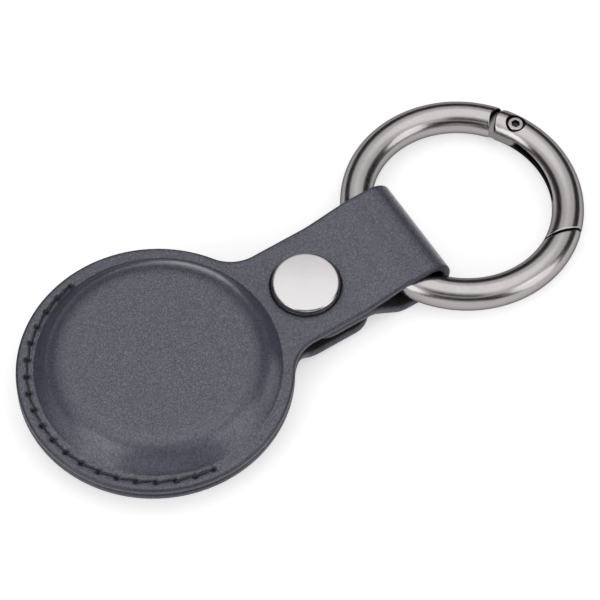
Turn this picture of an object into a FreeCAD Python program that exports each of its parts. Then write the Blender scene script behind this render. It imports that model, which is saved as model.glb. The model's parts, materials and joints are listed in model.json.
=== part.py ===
import FreeCAD, Part
import math
import os

# Round leather pocket for a tracker tag, with a snap strap and a spring-gate ring.
# Millimetres, +Z up. The holder lies on its back: the pocket's crown, the strap's fold and the
# ring's far side rest at z = 0. +X runs from the pocket along the strap to the ring, and the
# origin is under the middle of the whole length.

os.makedirs("parts", exist_ok=True)
Vec = FreeCAD.Vector
UP = Vec(0, 0, 1)
ACROSS = Vec(0, 1, 0)

# Leather and the tag it holds
leather = 1.3
tag_diameter = 31.9
tag_height = 8.0
tag_play = 0.3

# Pocket panels
front_rise = 4.2
crown_inset = 0.95
dome_run = 3.0
crown_bend = 2.2
foot_bend = 1.1
rim_width = 3.0
rim_gap = 0.1

# Strap, neck and tab
strap_width = 17.6
neck_fillet = 6.3
loop_reach = 14.2
bend_setback = 0.7
bend_flat = 0.9
drop_run = 2.5
strap_bend_radius = 1.5
tongue_setback = 4.2
tab_overhang = 7.5
end_corner = 4.0
barrel_radius = 1.5
barrel_gap = 0.1
bend_clear = 1.35
floor_gap = 0.05

# Margin by which a cutting shape passes the piece it cuts
cut_past = 1.0

# Opening line of the pocket's mouth
flap_line = -1.0
flap_gap = 0.1

# Stitching
stitch_margin = 1.7
stitch_start_angle = 100.0
stitch_end_angle = 265.0
stitch_count = 19
thread_radius = 0.27
thread_clear = 0.03
hole_clear = 0.08

# Snap fastener
snap_reach = 5.8
cap_radius = 5.25
cap_height = 1.1
cap_edge = 0.7
snap_gap = 1.5
rivet_radius = 1.6
rivet_clear = 0.04
rivet_flare = 0.4
rivet_lip = 0.1
socket_radius = 4.2
socket_height = 1.0
socket_roof = 0.3
socket_edge = 0.4
stud_head_radius = 2.0
stud_head_height = 0.35
stud_neck_radius = 1.65
stud_neck_height = 0.25
stud_flange_radius = 3.3
stud_flange = 0.35
socket_clear = 0.35
grip_wire_radius = 0.15
grip_gap_angle = 40.0
grip_clear = 0.27
groove_clear = 0.05
post_radius = 1.1
post_clear = 0.05
post_head_radius = 3.6
post_head = 0.7
post_edge = 0.35

# Spring-gate ring
ring_bore = 28.0
wire_diameter = 5.0
ring_offset = 0.9
loop_clear = 0.2
pin_angle = 26.0
gate_nose = 3.3
shoulder_gap = 0.8
gate_reach = 21.2
lock_gap = 0.2
tongue_half = 0.8
slot_clear = 0.1
tongue_reach = 1.5
tongue_root_angle = 46.0
slot_wall = 0.8
slot_end_angle = -30.0
pin_radius = 0.8
pin_fit = 0.02
pin_running = 0.05
pin_head_radius = 1.25
pin_head_height = 0.8
pin_recess = 0.35
recess_clear = 0.35
pin_tail = 0.3
hex_radius = 0.7
hex_depth = 0.5
spring_thickness = 0.3
spring_gap = 0.05
spring_start_angle = 16.0

# Sizes that follow
half_leather = leather / 2
wire = wire_diameter / 2
ring_radius = ring_bore / 2 + wire
ring_outer = ring_radius + wire
strap_half = strap_width / 2
crown_radius = tag_diameter / 2 - crown_inset
foot_radius = crown_radius + dome_run
panel_radius = foot_radius + rim_width
back_rise = tag_height + tag_play - rim_gap - front_rise
strap_reach = snap_reach + cap_radius + bend_clear + loop_reach
fold_inside = panel_radius + strap_reach - leather
disc_to_ring = fold_inside - loop_clear + math.sqrt((ring_bore / 2) ** 2 - (strap_half + ring_offset) ** 2)
overall_length = panel_radius + disc_to_ring + ring_outer
disc_x = panel_radius - overall_length / 2
ring_x = disc_x + disc_to_ring
fold_x = disc_x + panel_radius + strap_reach
snap_x = disc_x + panel_radius + snap_reach
bend_x = snap_x + cap_radius + bend_clear
flap_x = disc_x + flap_line
rise_x = disc_x + foot_radius + bend_setback

# Heights, upwards from the floor
back_rim = back_rise
front_rim = back_rim + leather + rim_gap
front_crown = front_rim + front_rise
wire_z = floor_gap + leather + loop_clear + wire
loop_bottom = wire_z + wire + loop_clear
strap_bottom = front_rim
strap_top = strap_bottom + leather
tongue_bottom = strap_bottom - leather
tab_top = tongue_bottom - snap_gap
tab_bottom = tab_top - leather
ring_lean = math.degrees(math.asin((wire_z - wire - floor_gap) / (2 * ring_radius)))
ring_z = wire_z - ring_radius * math.sin(math.radians(ring_lean))


def at(x, z):
    """A point of a side profile, in the plane y = 0."""
    return Vec(x, 0, z)


def unit(vector):
    return Vec(vector).normalize()


def rounded_edges(points, radii):
    """Straight runs through the points, joined by tangent arcs of the given radii."""
    edges = []
    here = points[0]
    for corner, radius, last, following in zip(points[1:-1], radii, points[:-2], points[2:]):
        back = unit(last - corner)
        ahead = unit(following - corner)
        half_turn = (math.pi - back.getAngle(ahead)) / 2
        start = corner + back * (radius * math.tan(half_turn))
        end = corner + ahead * (radius * math.tan(half_turn))
        middle = corner + unit(back + ahead) * (radius / math.cos(half_turn) - radius)
        if here.distanceToPoint(start) > 1e-6:
            edges.append(Part.LineSegment(here, start).toShape())
        edges.append(Part.Arc(start, middle, end).toShape())
        here = end
    if here.distanceToPoint(points[-1]) > 1e-6:
        edges.append(Part.LineSegment(here, points[-1]).toShape())
    return edges


def left_of(direction):
    return Vec(-direction.z, 0, direction.x)


def offset_side(points, radii, distance):
    """The line beside a side profile, with the radii that keep the distance even round each corner."""
    ways = [unit(b - a) for a, b in zip(points[:-1], points[1:])]
    moved = [points[0] + left_of(ways[0]) * distance]
    turned_radii = []
    for corner, radius, before, after in zip(points[1:-1], radii, ways[:-1], ways[1:]):
        square = unit(left_of(before) + left_of(after))
        moved.append(corner + square * (distance / square.dot(left_of(before))))
        turns_left = before.x * after.z - before.z * after.x > 0
        turned_radii.append(radius - distance if turns_left else radius + distance)
    moved.append(points[-1] + left_of(ways[-1]) * distance)
    return moved, turned_radii


def leather_face(points, radii):
    """A side view of leather of even thickness that follows the given middle line."""
    left_points, left_radii = offset_side(points, radii, half_leather)
    right_points, right_radii = offset_side(points, radii, -half_leather)
    edges = rounded_edges(left_points, left_radii)
    edges += rounded_edges(right_points, right_radii)
    edges.append(Part.LineSegment(left_points[0], right_points[0]).toShape())
    edges.append(Part.LineSegment(left_points[-1], right_points[-1]).toShape())
    return Part.Face(Part.Wire(Part.__sortEdges__(edges)))


def across_strap(face, width):
    """A side view drawn out to a width, level about y = 0."""
    solid = face.extrude(ACROSS * width)
    solid.translate(ACROSS * (-width / 2))
    return solid


def upright(radius, low, high, x, y=0.0):
    """A round bar standing on the floor plane's axes."""
    return Part.makeCylinder(radius, high - low, Vec(x, y, low), UP)


def slab(x_low, x_high, z_low, z_high, half_width):
    """A plain box, level about y = 0."""
    return Part.makeBox(x_high - x_low, 2 * half_width, z_high - z_low, Vec(x_low, -half_width, z_low))


def one_solid(shape):
    """The single solid that a cut or a join left, with merged faces."""
    return shape.removeSplitter().Solids[0]


def turned_solid(outline, x):
    """A closed outline of (radius, height) corners turned about the upright axis at x."""
    corners = [at(x + radius, height) for radius, height in outline]
    face = Part.Face(Part.makePolygon(corners + corners[:1]))
    return face.revolve(Vec(x, 0, 0), UP, 360)


def neck_outline(end_x, half_width, corner):
    """Plan of the round panel, the filleted neck and the strap, up to end_x."""
    fillet_y = half_width + neck_fillet
    fillet_x = math.sqrt((panel_radius + neck_fillet) ** 2 - fillet_y ** 2)
    share = panel_radius / (panel_radius + neck_fillet)
    on_disc = Vec(disc_x + fillet_x * share, fillet_y * share, 0)
    on_strap = Vec(disc_x + fillet_x, half_width, 0)
    toward_disc = unit(Vec(-fillet_x, -fillet_y, 0)) + Vec(0, -1, 0)
    halfway = Vec(disc_x + fillet_x, fillet_y, 0) + unit(toward_disc) * neck_fillet
    mirror = [Vec(p.x, -p.y, 0) for p in (on_disc, halfway, on_strap)]
    strap_side = [on_strap, Vec(end_x, half_width, 0), Vec(end_x, -half_width, 0), mirror[2]]
    edges = [Part.Arc(on_disc, Vec(disc_x - panel_radius, 0, 0), mirror[0]).toShape()]
    edges.append(Part.Arc(on_disc, halfway, on_strap).toShape())
    edges.append(Part.Arc(mirror[0], mirror[1], mirror[2]).toShape())
    if corner:
        edges += rounded_edges(strap_side, [corner, corner])
    else:
        edges.append(Part.makePolygon(strap_side))
    outline = Part.Wire(Part.__sortEdges__([edge for piece in edges for edge in piece.Edges]))
    return Part.Face(outline).extrude(UP * (front_crown + leather + cut_past))


def domed_panel(rim_bottom, crown_bottom):
    """A round panel with a pressed dome, as a turned strip of leather."""
    line = [
        at(disc_x, crown_bottom + half_leather),
        at(disc_x + crown_radius, crown_bottom + half_leather),
        at(disc_x + foot_radius, rim_bottom + half_leather),
        at(disc_x + panel_radius, rim_bottom + half_leather),
    ]
    face = leather_face(line, [crown_bend, foot_bend])
    return face.revolve(Vec(disc_x, 0, 0), UP, 360)


def stepped_strip(end_x):
    """The tab's strip of leather: level with the rim, then a soft step down to its own height."""
    line = [
        at(rise_x, back_rim + half_leather),
        at(rise_x + bend_flat, back_rim + half_leather),
        at(rise_x + bend_flat + drop_run, tab_bottom + half_leather),
        at(end_x, tab_bottom + half_leather),
    ]
    return across_strap(leather_face(line, [strap_bend_radius] * 2), 2 * panel_radius)


def panel_with_strap(rim_bottom, crown_bottom, strap, end_x, corner):
    """A domed panel and its strap, cut from one piece of leather."""
    reach = panel_radius + front_crown
    pocket_side = slab(disc_x - reach, rise_x, -reach, reach, reach)
    dome = domed_panel(rim_bottom, crown_bottom).common(pocket_side)
    return dome.fuse(strap.common(neck_outline(end_x, strap_half, corner)))


def stitch_points():
    """Plan places of the needle holes along the sewn edge."""
    radius = panel_radius - stitch_margin
    step = (stitch_end_angle - stitch_start_angle) / stitch_count
    angles = [math.radians(stitch_start_angle + step * i) for i in range(stitch_count + 1)]
    return [Vec(disc_x + radius * math.cos(a), radius * math.sin(a), 0) for a in angles]


def needle_holes(low, high):
    holes = [upright(thread_radius + hole_clear, low, high, p.x, p.y) for p in stitch_points()]
    return Part.makeCompound(holes)


def lock_thread(surface, seam, outward):
    """One thread of the seam: a bar on the leather for each stitch, and a leg down each hole."""
    run_z = surface + outward * (thread_radius + thread_clear)
    places = [Vec(p.x, p.y, run_z) for p in stitch_points()]
    leg = run_z - seam - outward * thread_clear
    pieces = [Part.makeSphere(thread_radius, place) for place in places]
    pieces += [Part.makeCylinder(thread_radius, abs(leg), place, UP * -outward) for place in places]
    for first, second in zip(places[:-1], places[1:]):
        pieces.append(Part.makeCylinder(thread_radius, (second - first).Length, first, second - first))
    return one_solid(pieces[0].multiFuse(pieces[1:]))


def bend_barrel(radius):
    """A round bar along the line where the strap bends, between its two layers."""
    return Part.makeCylinder(radius, 4 * strap_half, Vec(bend_x, -2 * strap_half, strap_bottom), ACROSS)


def make_strap_loop():
    """The strap from the bend line, over the ring, round the fold and back under it."""
    turn = wire + loop_clear + half_leather
    strap_line = strap_bottom + half_leather
    top_line = loop_bottom + half_leather
    under_line = floor_gap + half_leather
    tongue_line = tongue_bottom + half_leather
    near_wire = ring_x - ring_radius * math.cos(math.radians(ring_lean))
    across = near_wire - bend_x
    above = strap_line - wire_z
    climb = math.asin(turn / math.hypot(across, above)) - math.atan2(above, across)
    shoulder_x = bend_x + (top_line - strap_line) / math.tan(climb)
    down = tongue_line - wire_z
    slope = math.atan2(down, across) + math.asin(turn / math.hypot(across, down))
    foot_x = bend_x + (tongue_line - under_line) / math.tan(slope)
    crest = fold_x - half_leather
    line = [
        at(bend_x, strap_line),
        at(shoulder_x, top_line),
        at(crest, top_line),
        at(crest, under_line),
        at(foot_x, under_line),
        at(bend_x, tongue_line),
    ]
    band = across_strap(leather_face(line, [turn] * 4), strap_width)
    barrel = bend_barrel(barrel_radius)
    level = slab(bend_x - barrel_radius, bend_x + barrel_radius, tongue_bottom, strap_top, strap_half)
    trimmed = band.common(slab(bend_x, fold_x + leather, -leather, loop_bottom + 2 * leather, strap_half))
    return one_solid(trimmed.fuse(barrel.common(level)))


def make_front_panel():
    """Front leather: domed panel, neck and strap up to the bend line."""
    strap = slab(rise_x, bend_x, strap_bottom, strap_top, panel_radius)
    panel = panel_with_strap(front_rim, front_crown, strap, bend_x, 0)
    panel = panel.cut(needle_holes(front_rim - leather, front_rim + 2 * leather))
    panel = panel.cut(upright(rivet_radius + rivet_clear, tongue_bottom, strap_top + leather, snap_x))
    return one_solid(panel.cut(bend_barrel(barrel_radius + barrel_gap)))


def make_strap_tongue():
    """The strap's end, folded back under itself and held by the snap."""
    start_x = snap_x - tongue_setback
    tongue = slab(start_x, bend_x, tongue_bottom, strap_bottom, strap_half)
    corners = [e for e in tongue.Edges if e.BoundBox.XMax < start_x + 1e-6 and e.BoundBox.ZLength > leather / 2]
    tongue = tongue.makeFillet(end_corner, corners)
    tongue = tongue.cut(upright(rivet_radius + rivet_clear, tongue_bottom - cut_past, strap_top, snap_x))
    return one_solid(tongue.cut(bend_barrel(barrel_radius + barrel_gap)))


def make_back_leather():
    """Back leather, split at the mouth line into the sewn half and the half that opens."""
    end_x = snap_x + tab_overhang
    back = panel_with_strap(back_rim, 0.0, stepped_strip(end_x), end_x, end_corner)
    back = back.cut(needle_holes(back_rim - leather, back_rim + 2 * leather))
    back = back.cut(upright(post_radius + post_clear, tab_bottom - cut_past, tab_top + cut_past, snap_x))
    reach = panel_radius + strap_reach
    sewn = back.common(slab(disc_x - reach, flap_x - flap_gap / 2, -cut_past, reach, reach))
    opening = back.common(slab(flap_x + flap_gap / 2, disc_x + 2 * reach, -cut_past, reach, reach))
    return one_solid(sewn), one_solid(opening)


def make_snap_cap():
    """Cap with a rounded rim and the hollow rivet that clamps the strap's two layers."""
    cap = upright(cap_radius, strap_top, strap_top + cap_height, snap_x)
    top_edge = [e for e in cap.Edges if e.BoundBox.ZMin > strap_top + cap_height / 2 and e.BoundBox.ZLength < 1e-6]
    cap = cap.makeFillet(cap_edge, top_edge)
    roof = tongue_bottom - socket_roof
    rivet = upright(rivet_radius, roof - rivet_lip, strap_top, snap_x)
    flare = upright(rivet_radius + rivet_flare, roof - rivet_lip, roof, snap_x)
    return one_solid(cap.fuse(rivet).fuse(flare))


def grip_centre():
    """Radius and height of the grip wire's middle line inside the socket."""
    radius = stud_head_radius + grip_clear + grip_wire_radius
    height = tongue_bottom - socket_height + stud_neck_height
    return radius, height


def make_snap_socket():
    """Socket under the strap, with a cavity for the stud and a groove for the grip wire."""
    low = tongue_bottom - socket_height
    socket = upright(socket_radius, low, tongue_bottom, snap_x)
    lower_edge = [e for e in socket.Edges if e.BoundBox.ZMax < low + 1e-6]
    socket = socket.makeFillet(socket_edge, lower_edge)
    cavity = stud_head_radius + socket_clear
    socket = socket.cut(upright(cavity, low - cut_past, tongue_bottom - socket_roof, snap_x))
    socket = socket.cut(upright(rivet_radius + rivet_clear, low, tongue_bottom + cut_past, snap_x))
    groove_radius, groove_z = grip_centre()
    groove = Part.makeTorus(groove_radius, grip_wire_radius + groove_clear, Vec(snap_x, 0, groove_z), UP)
    return one_solid(socket.cut(groove))


def make_socket_spring():
    """Split wire ring that grips the stud."""
    radius, height = grip_centre()
    centre = Vec(snap_x, 0, height)
    turn = 360 - grip_gap_angle
    return Part.makeTorus(radius, grip_wire_radius, centre, UP, 0, 360, turn).Solids[0]


def make_snap_stud():
    """Stud on the tab, with a rolled head that the socket grips."""
    flange_top = tab_top + stud_flange
    neck_top = flange_top + stud_neck_height
    head_top = neck_top + stud_head_height
    bore = post_radius + post_clear
    outline = [
        (bore, tab_top),
        (stud_flange_radius, tab_top),
        (stud_flange_radius, flange_top),
        (stud_neck_radius, flange_top),
        (stud_head_radius, (neck_top + flange_top) / 2),
        (stud_head_radius, neck_top),
        (stud_neck_radius, head_top),
        (bore, head_top),
    ]
    return turned_solid(outline, snap_x).Solids[0]


def make_snap_post():
    """Rivet head behind the tab, with the shank that holds the stud."""
    head = upright(post_head_radius, tab_bottom - post_head, tab_bottom, snap_x)
    lower_edge = [e for e in head.Edges if e.BoundBox.ZMax < tab_bottom - post_head + 1e-6]
    head = head.makeFillet(post_edge, lower_edge)
    shank_top = tab_top + stud_flange + stud_neck_height + stud_head_height
    return one_solid(head.fuse(upright(post_radius, tab_bottom - post_head / 2, shank_top, snap_x)))


def pin_place():
    """Plan place of the gate's pin, from the ring's centre."""
    angle = math.radians(pin_angle)
    return Vec(ring_radius * math.cos(angle), ring_radius * math.sin(angle), 0)


def pin_bar(radius, low, high):
    place = pin_place()
    return upright(radius, low, high, place.x, place.y)


def ring_sector(radius, half_height, first_angle, last_angle):
    """A flat slice of the ring's plane between two angles."""
    sector = Part.makeCylinder(radius, 2 * half_height, Vec(0, 0, -half_height), UP, last_angle - first_angle)
    sector.rotate(Vec(0, 0, 0), UP, first_angle)
    return sector


def gate_zone(reach, nose):
    """The part of the ring that the gate takes: one side of its pin, and a round nose about the pin."""
    tall = 2 * wire_diameter
    swing = pin_bar(reach, -tall, tall)
    across_pin = Part.makeBox(2 * reach, 2 * reach, 2 * tall, Vec(-reach, -2 * reach, -tall))
    across_pin.rotate(Vec(0, 0, 0), UP, pin_angle)
    across_pin.translate(pin_place())
    return swing.common(across_pin).fuse(pin_bar(nose, -tall, tall))


def seat_ring(shape):
    """Moves a ring piece from its own frame into the strap's loop, leaning to the floor."""
    shape.rotate(Vec(0, 0, 0), ACROSS, ring_lean)
    shape.translate(Vec(ring_x, ring_offset, ring_z))
    return shape


def make_ring_body():
    """Open ring with the flat eye that the gate turns on."""
    body = Part.makeTorus(ring_radius, wire)
    body = body.cut(gate_zone(gate_reach + lock_gap / 2, gate_nose + shoulder_gap))
    outer = ring_sector(ring_radius + tongue_reach, tongue_half, pin_angle, tongue_root_angle)
    inner = ring_sector(ring_radius - tongue_reach, tongue_half, pin_angle, tongue_root_angle)
    eye = pin_bar(tongue_reach, -tongue_half, tongue_half)
    body = body.fuse(outer.cut(inner).fuse(eye))
    return one_solid(body.cut(pin_bar(pin_radius + pin_running, -wire, wire)))


def slot_floor():
    return ring_radius + wire - slot_wall


def make_ring_gate():
    """Gate with the slot that holds the eye and the spring, open towards the ring's middle."""
    gate = Part.makeTorus(ring_radius, wire).common(gate_zone(gate_reach - lock_gap / 2, gate_nose))
    slot_half = tongue_half + slot_clear
    gate = gate.cut(ring_sector(slot_floor(), slot_half, slot_end_angle, 2 * tongue_root_angle))
    gate = gate.cut(pin_bar(pin_radius + pin_fit, -2 * wire, 2 * wire))
    seat = wire - pin_recess - pin_head_height
    return one_solid(gate.cut(pin_bar(pin_head_radius + recess_clear, seat, 2 * wire)))


def make_gate_pin():
    """Pivot pin with a socket head."""
    head_top = wire - pin_recess
    seat = head_top - pin_head_height
    pin = pin_bar(pin_head_radius, seat, head_top).fuse(pin_bar(pin_radius, pin_tail - wire, seat))
    place = pin_place()
    corners = [math.radians(pin_angle + 60 * i) for i in range(7)]
    hexagon = [place + Vec(hex_radius * math.cos(a), hex_radius * math.sin(a), head_top) for a in corners]
    socket = Part.Face(Part.makePolygon(hexagon)).extrude(UP * -hex_depth)
    return one_solid(pin.cut(socket))


def make_gate_spring():
    """Leaf spring along the slot's floor."""
    outer_radius = slot_floor() - spring_gap
    outer = ring_sector(outer_radius, tongue_half, slot_end_angle + 1, spring_start_angle)
    inner = ring_sector(outer_radius - spring_thickness, tongue_half, slot_end_angle, spring_start_angle + 1)
    return one_solid(outer.cut(inner))


back_panel, back_flap = make_back_leather()
seam_z = back_rim + leather + rim_gap / 2

nodes = {
    "front_panel": make_front_panel(),
    "strap_tongue": make_strap_tongue(),
    "strap_loop": make_strap_loop(),
    "back_panel": back_panel,
    "back_flap": back_flap,
    "needle_thread": lock_thread(front_rim + leather, seam_z, 1),
    "bobbin_thread": lock_thread(back_rim, seam_z, -1),
    "snap_cap": make_snap_cap(),
    "snap_socket": make_snap_socket(),
    "socket_spring": make_socket_spring(),
    "snap_stud": make_snap_stud(),
    "snap_post": make_snap_post(),
    "ring_body": seat_ring(make_ring_body()),
    "ring_gate": seat_ring(make_ring_gate()),
    "gate_pin": seat_ring(make_gate_pin()),
    "gate_spring": seat_ring(make_gate_spring()),
}

for name, shape in nodes.items():
    shape.exportStep(f"parts/{name}.step")
    box = shape.BoundBox
    print(name, shape.ShapeType, shape.isValid(), f"{shape.Volume:.2f} mm3",
          f"x {box.XMin:.2f}..{box.XMax:.2f} y {box.YMin:.2f}..{box.YMax:.2f} z {box.ZMin:.2f}..{box.ZMax:.2f}")
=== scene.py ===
# %% [markdown]
# # A leather holder for a tracker tag, with a snap strap and a spring-gate ring
# The CAD model gives every size and every joint. This lesson dresses it: two pieces of leather, a row of
# stitches, a snap fastener and a ring with a gate. All lengths are in metres, in the frame of the CAD model.

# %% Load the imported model
import json
import math
import bpy
import numpy as np
from mathutils import Matrix, Vector
from mathutils.geometry import delaunay_2d_cdt, tessellate_polygon


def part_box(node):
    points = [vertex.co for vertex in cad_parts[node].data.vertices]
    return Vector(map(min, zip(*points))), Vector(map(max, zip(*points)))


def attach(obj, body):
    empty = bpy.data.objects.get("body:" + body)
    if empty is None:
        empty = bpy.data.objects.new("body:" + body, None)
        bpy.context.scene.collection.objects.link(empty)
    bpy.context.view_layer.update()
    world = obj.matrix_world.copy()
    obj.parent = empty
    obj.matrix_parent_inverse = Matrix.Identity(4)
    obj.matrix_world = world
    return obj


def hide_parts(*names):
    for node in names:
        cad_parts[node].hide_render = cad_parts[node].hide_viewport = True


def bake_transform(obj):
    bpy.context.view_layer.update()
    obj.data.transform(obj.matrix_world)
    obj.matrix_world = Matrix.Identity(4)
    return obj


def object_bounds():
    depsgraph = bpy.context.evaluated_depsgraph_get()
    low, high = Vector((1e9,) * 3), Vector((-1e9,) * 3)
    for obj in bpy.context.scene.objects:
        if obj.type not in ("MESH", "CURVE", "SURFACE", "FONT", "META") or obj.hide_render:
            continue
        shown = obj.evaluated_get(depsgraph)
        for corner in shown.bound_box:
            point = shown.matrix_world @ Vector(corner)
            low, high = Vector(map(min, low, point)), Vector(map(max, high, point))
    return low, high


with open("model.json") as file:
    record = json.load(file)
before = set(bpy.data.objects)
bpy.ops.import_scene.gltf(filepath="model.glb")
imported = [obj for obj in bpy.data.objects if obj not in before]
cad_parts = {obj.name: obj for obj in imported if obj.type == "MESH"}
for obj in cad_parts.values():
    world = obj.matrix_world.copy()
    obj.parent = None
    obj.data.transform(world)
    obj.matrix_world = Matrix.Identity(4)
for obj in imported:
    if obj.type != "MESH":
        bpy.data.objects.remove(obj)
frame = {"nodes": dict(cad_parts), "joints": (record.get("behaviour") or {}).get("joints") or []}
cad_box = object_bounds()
print("CAD nodes:", ", ".join(sorted(frame["nodes"])))

# %% [markdown]
# ## Sizes
# Sizes typed in again could drift from the CAD model. So they are read from the boxes of its nodes and from
# its joints, and only what a box can't tell is written here.

# %% Read the sizes from the CAD nodes
mm = 0.001
joints = {joint["name"]: joint for joint in frame["joints"]}
front_low, front_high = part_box("front_panel")
back_low, back_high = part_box("back_panel")
flap_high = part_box("back_flap")[1]
tongue_low, tongue_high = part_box("strap_tongue")
loop_low, loop_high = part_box("strap_loop")
leather = tongue_high.z - tongue_low.z
panel_radius = round((front_high.y - front_low.y) / 2, 4)
disc_x = front_low.x + panel_radius
strap_half = tongue_high.y
bend_x = joints["strap_bend"]["pos_m"][0]
front_rim = front_low.z + leather / 2
front_crown = front_high.z - leather / 2
back_rim = back_high.z - leather / 2
back_crown = back_low.z + leather / 2
print(f"pocket {2000 * panel_radius:.1f} mm across, leather {1000 * leather:.2f} mm thick")

# %% [markdown]
# ## Camera
# The photo looks down on the holder at about 59 degrees, from the side of the pocket. A long lens keeps the
# ring and the pocket in the same proportion. The place was found by fitting the two circles to the photo.


# %% Place the camera
def add_object(name, data):
    added = bpy.data.objects.new(name, data)
    bpy.context.scene.collection.objects.link(added)
    return added


camera_azimuth = math.radians(-32.498)
camera_elevation = math.radians(59.432)
camera_distance = 539.157 * mm
camera_target = Vector((-0.372 * mm, 1.532 * mm, 0.0))
level = math.cos(camera_elevation)
toward_camera = Vector((math.sin(camera_azimuth) * level, -math.cos(camera_azimuth) * level,
                        math.sin(camera_elevation)))
camera_data = bpy.data.cameras.new("photo_camera")
camera_data.lens = 210.0
camera_data.clip_start = 0.01
camera = add_object("photo_camera", camera_data)
camera.location = camera_target + toward_camera * camera_distance
camera.rotation_euler = toward_camera.to_track_quat("Z", "Y").to_euler()
bpy.context.scene.camera = camera
print("camera at", [round(value, 4) for value in camera.location])

# %% [markdown]
# ## Shader maths
# A finish needs a few sums, such as one minus a mask. Written node by node they are hard to read, so a small
# class wraps a socket: Python's operators add Math nodes, and its methods add the other nodes used here.


# %% A socket that can be added and multiplied
class Wire:
    """One output socket of a node tree, with the operators that add Math nodes."""

    def __init__(self, tree, socket=None):
        self.tree = tree
        self.socket = socket

    def node(self, kind, settings=None, inputs=None, output=0):
        """Adds a node: its settings first, then its sockets' values or links. Gives one output's wire."""
        made = self.tree.nodes.new(kind)
        for name, value in (settings or {}).items():
            setattr(made, name, value)
        for key, value in (inputs or {}).items():
            if isinstance(value, Wire):
                self.tree.links.new(value.socket, made.inputs[key])
            else:
                made.inputs[key].default_value = value
        return Wire(self.tree, made.outputs[output])

    def math(self, operation, first, second=0.0):
        return self.node("ShaderNodeMath", {"operation": operation}, {0: first, 1: second})

    def __add__(self, other):
        return self.math("ADD", self, other)

    __radd__ = __add__

    def __mul__(self, other):
        return self.math("MULTIPLY", self, other)

    __rmul__ = __mul__

    def __sub__(self, other):
        return self.math("SUBTRACT", self, other)

    def __rsub__(self, other):
        return self.math("SUBTRACT", other, self)

    def between(self, low, high):
        """0 below low, 1 above high, and a smooth rise from one to the other."""
        settings = {"interpolation_type": "SMOOTHSTEP"}
        return self.node("ShaderNodeMapRange", settings, {"Value": self, "From Min": low, "From Max": high})

    def blend(self, first, second, how="MIX"):
        """A colour from the first to the second, by this value."""
        settings = {"data_type": "RGBA", "blend_type": how}
        return self.node("ShaderNodeMix", settings, {"Factor": self, 6: first, 7: second}, 2)

    def stretch(self, scale, shift):
        """This vector times a scale, plus a shift."""
        return self.node("ShaderNodeVectorMath", {"operation": "MULTIPLY_ADD"}, {0: self, 1: scale, 2: shift})

    def length(self):
        return self.node("ShaderNodeVectorMath", {"operation": "LENGTH"}, {0: self}, "Value")

    def noise(self, scale, detail, output=0, **more):
        inputs = {"Vector": self, "Scale": scale, "Detail": detail, **more}
        return self.node("ShaderNodeTexNoise", inputs=inputs, output=output)

    def bump(self, strength, depth):
        """Normals tilted by this height."""
        return self.node("ShaderNodeBump", inputs={"Strength": strength, "Distance": depth, "Height": self})

    def mark(self, name):
        """A value that the mesh carries at its points."""
        return self.node("ShaderNodeAttribute", {"attribute_name": name}, output="Fac")


print("shader maths ready")


# %% A new finish
def new_finish(name):
    """A new material: its first wire, its main shader, and object coordinates."""
    material = bpy.data.materials.new(name)
    material.use_nodes = True
    tree = material.node_tree
    shader = tree.nodes["Principled BSDF"]
    start = Wire(tree)
    place = start.node("ShaderNodeTexCoord", output="Object")
    return material, start, shader, place


def feed(wire, shader, socket):
    wire.tree.links.new(wire.socket, shader.inputs[socket])


print("finish helpers ready")

# %% [markdown]
# ## Leather finish
# The leather is charcoal with a slight blue cast, pressed with a fine pebble grain and finished satin. Its
# cut edges are painted smooth and dull, and its inner side is fibrous and coloured near black, which also
# stands in as painted shade between the layers. One finish does all three: the meshes carry an attribute for
# the painted edge, one for the inner side, and one for painted shade: near black in the needle holes and in
# the groove round the snap.

# %% Grain of the leather
leather_finish, start, shader, place = new_finish("charcoal_leather")
edge = start.mark("edge")
inner = start.mark("inner")
# Painted shade: this mark turns the colour near black, with no coat, in the needle holes and the groove round
# the snap.
painted_hole_shade = start.mark("painted_hole_shade")
pebble_scale = 2000.0
wrinkle_scale = 1900.0
drift_reach = 0.6 * mm
drift = place.noise(900.0, 2.0, "Color").stretch((drift_reach, drift_reach, drift_reach), place)
pebble = start.node("ShaderNodeTexVoronoi", {"feature": "DISTANCE_TO_EDGE"},
                    {"Vector": drift, "Scale": pebble_scale})
pebble = pebble.between(0.0, 0.18)
wrinkle = drift.noise(wrinkle_scale, 2.0)
wrinkle = start.math("ABSOLUTE", wrinkle - 0.5).between(0.0, 0.1)
grain = 0.5 * pebble + 0.5 * wrinkle
fine = place.noise(5200.0, 3.0)
cloud = place.noise(160.0, 4.0)
fibre = place.noise(3600.0, 6.0, Roughness=0.75)
print("grain nodes:", len(leather_finish.node_tree.nodes))

# %% Colour and sheen of the leather
tone = 0.9 * grain + 0.5 * fine + 0.3 * cloud - 0.45
outer_colour = tone.blend((0.026, 0.026, 0.043, 1), (0.068, 0.068, 0.108, 1))
outer_colour = edge.blend(outer_colour, (0.62, 0.61, 0.62, 1), "MULTIPLY")
# The inner side is fibrous, and its near-black colour is also painted shade for the gap between the layers.
inner_fibre_and_shade_colour = fibre.blend((0.006, 0.006, 0.007, 1), (0.020, 0.020, 0.022, 1))
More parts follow.
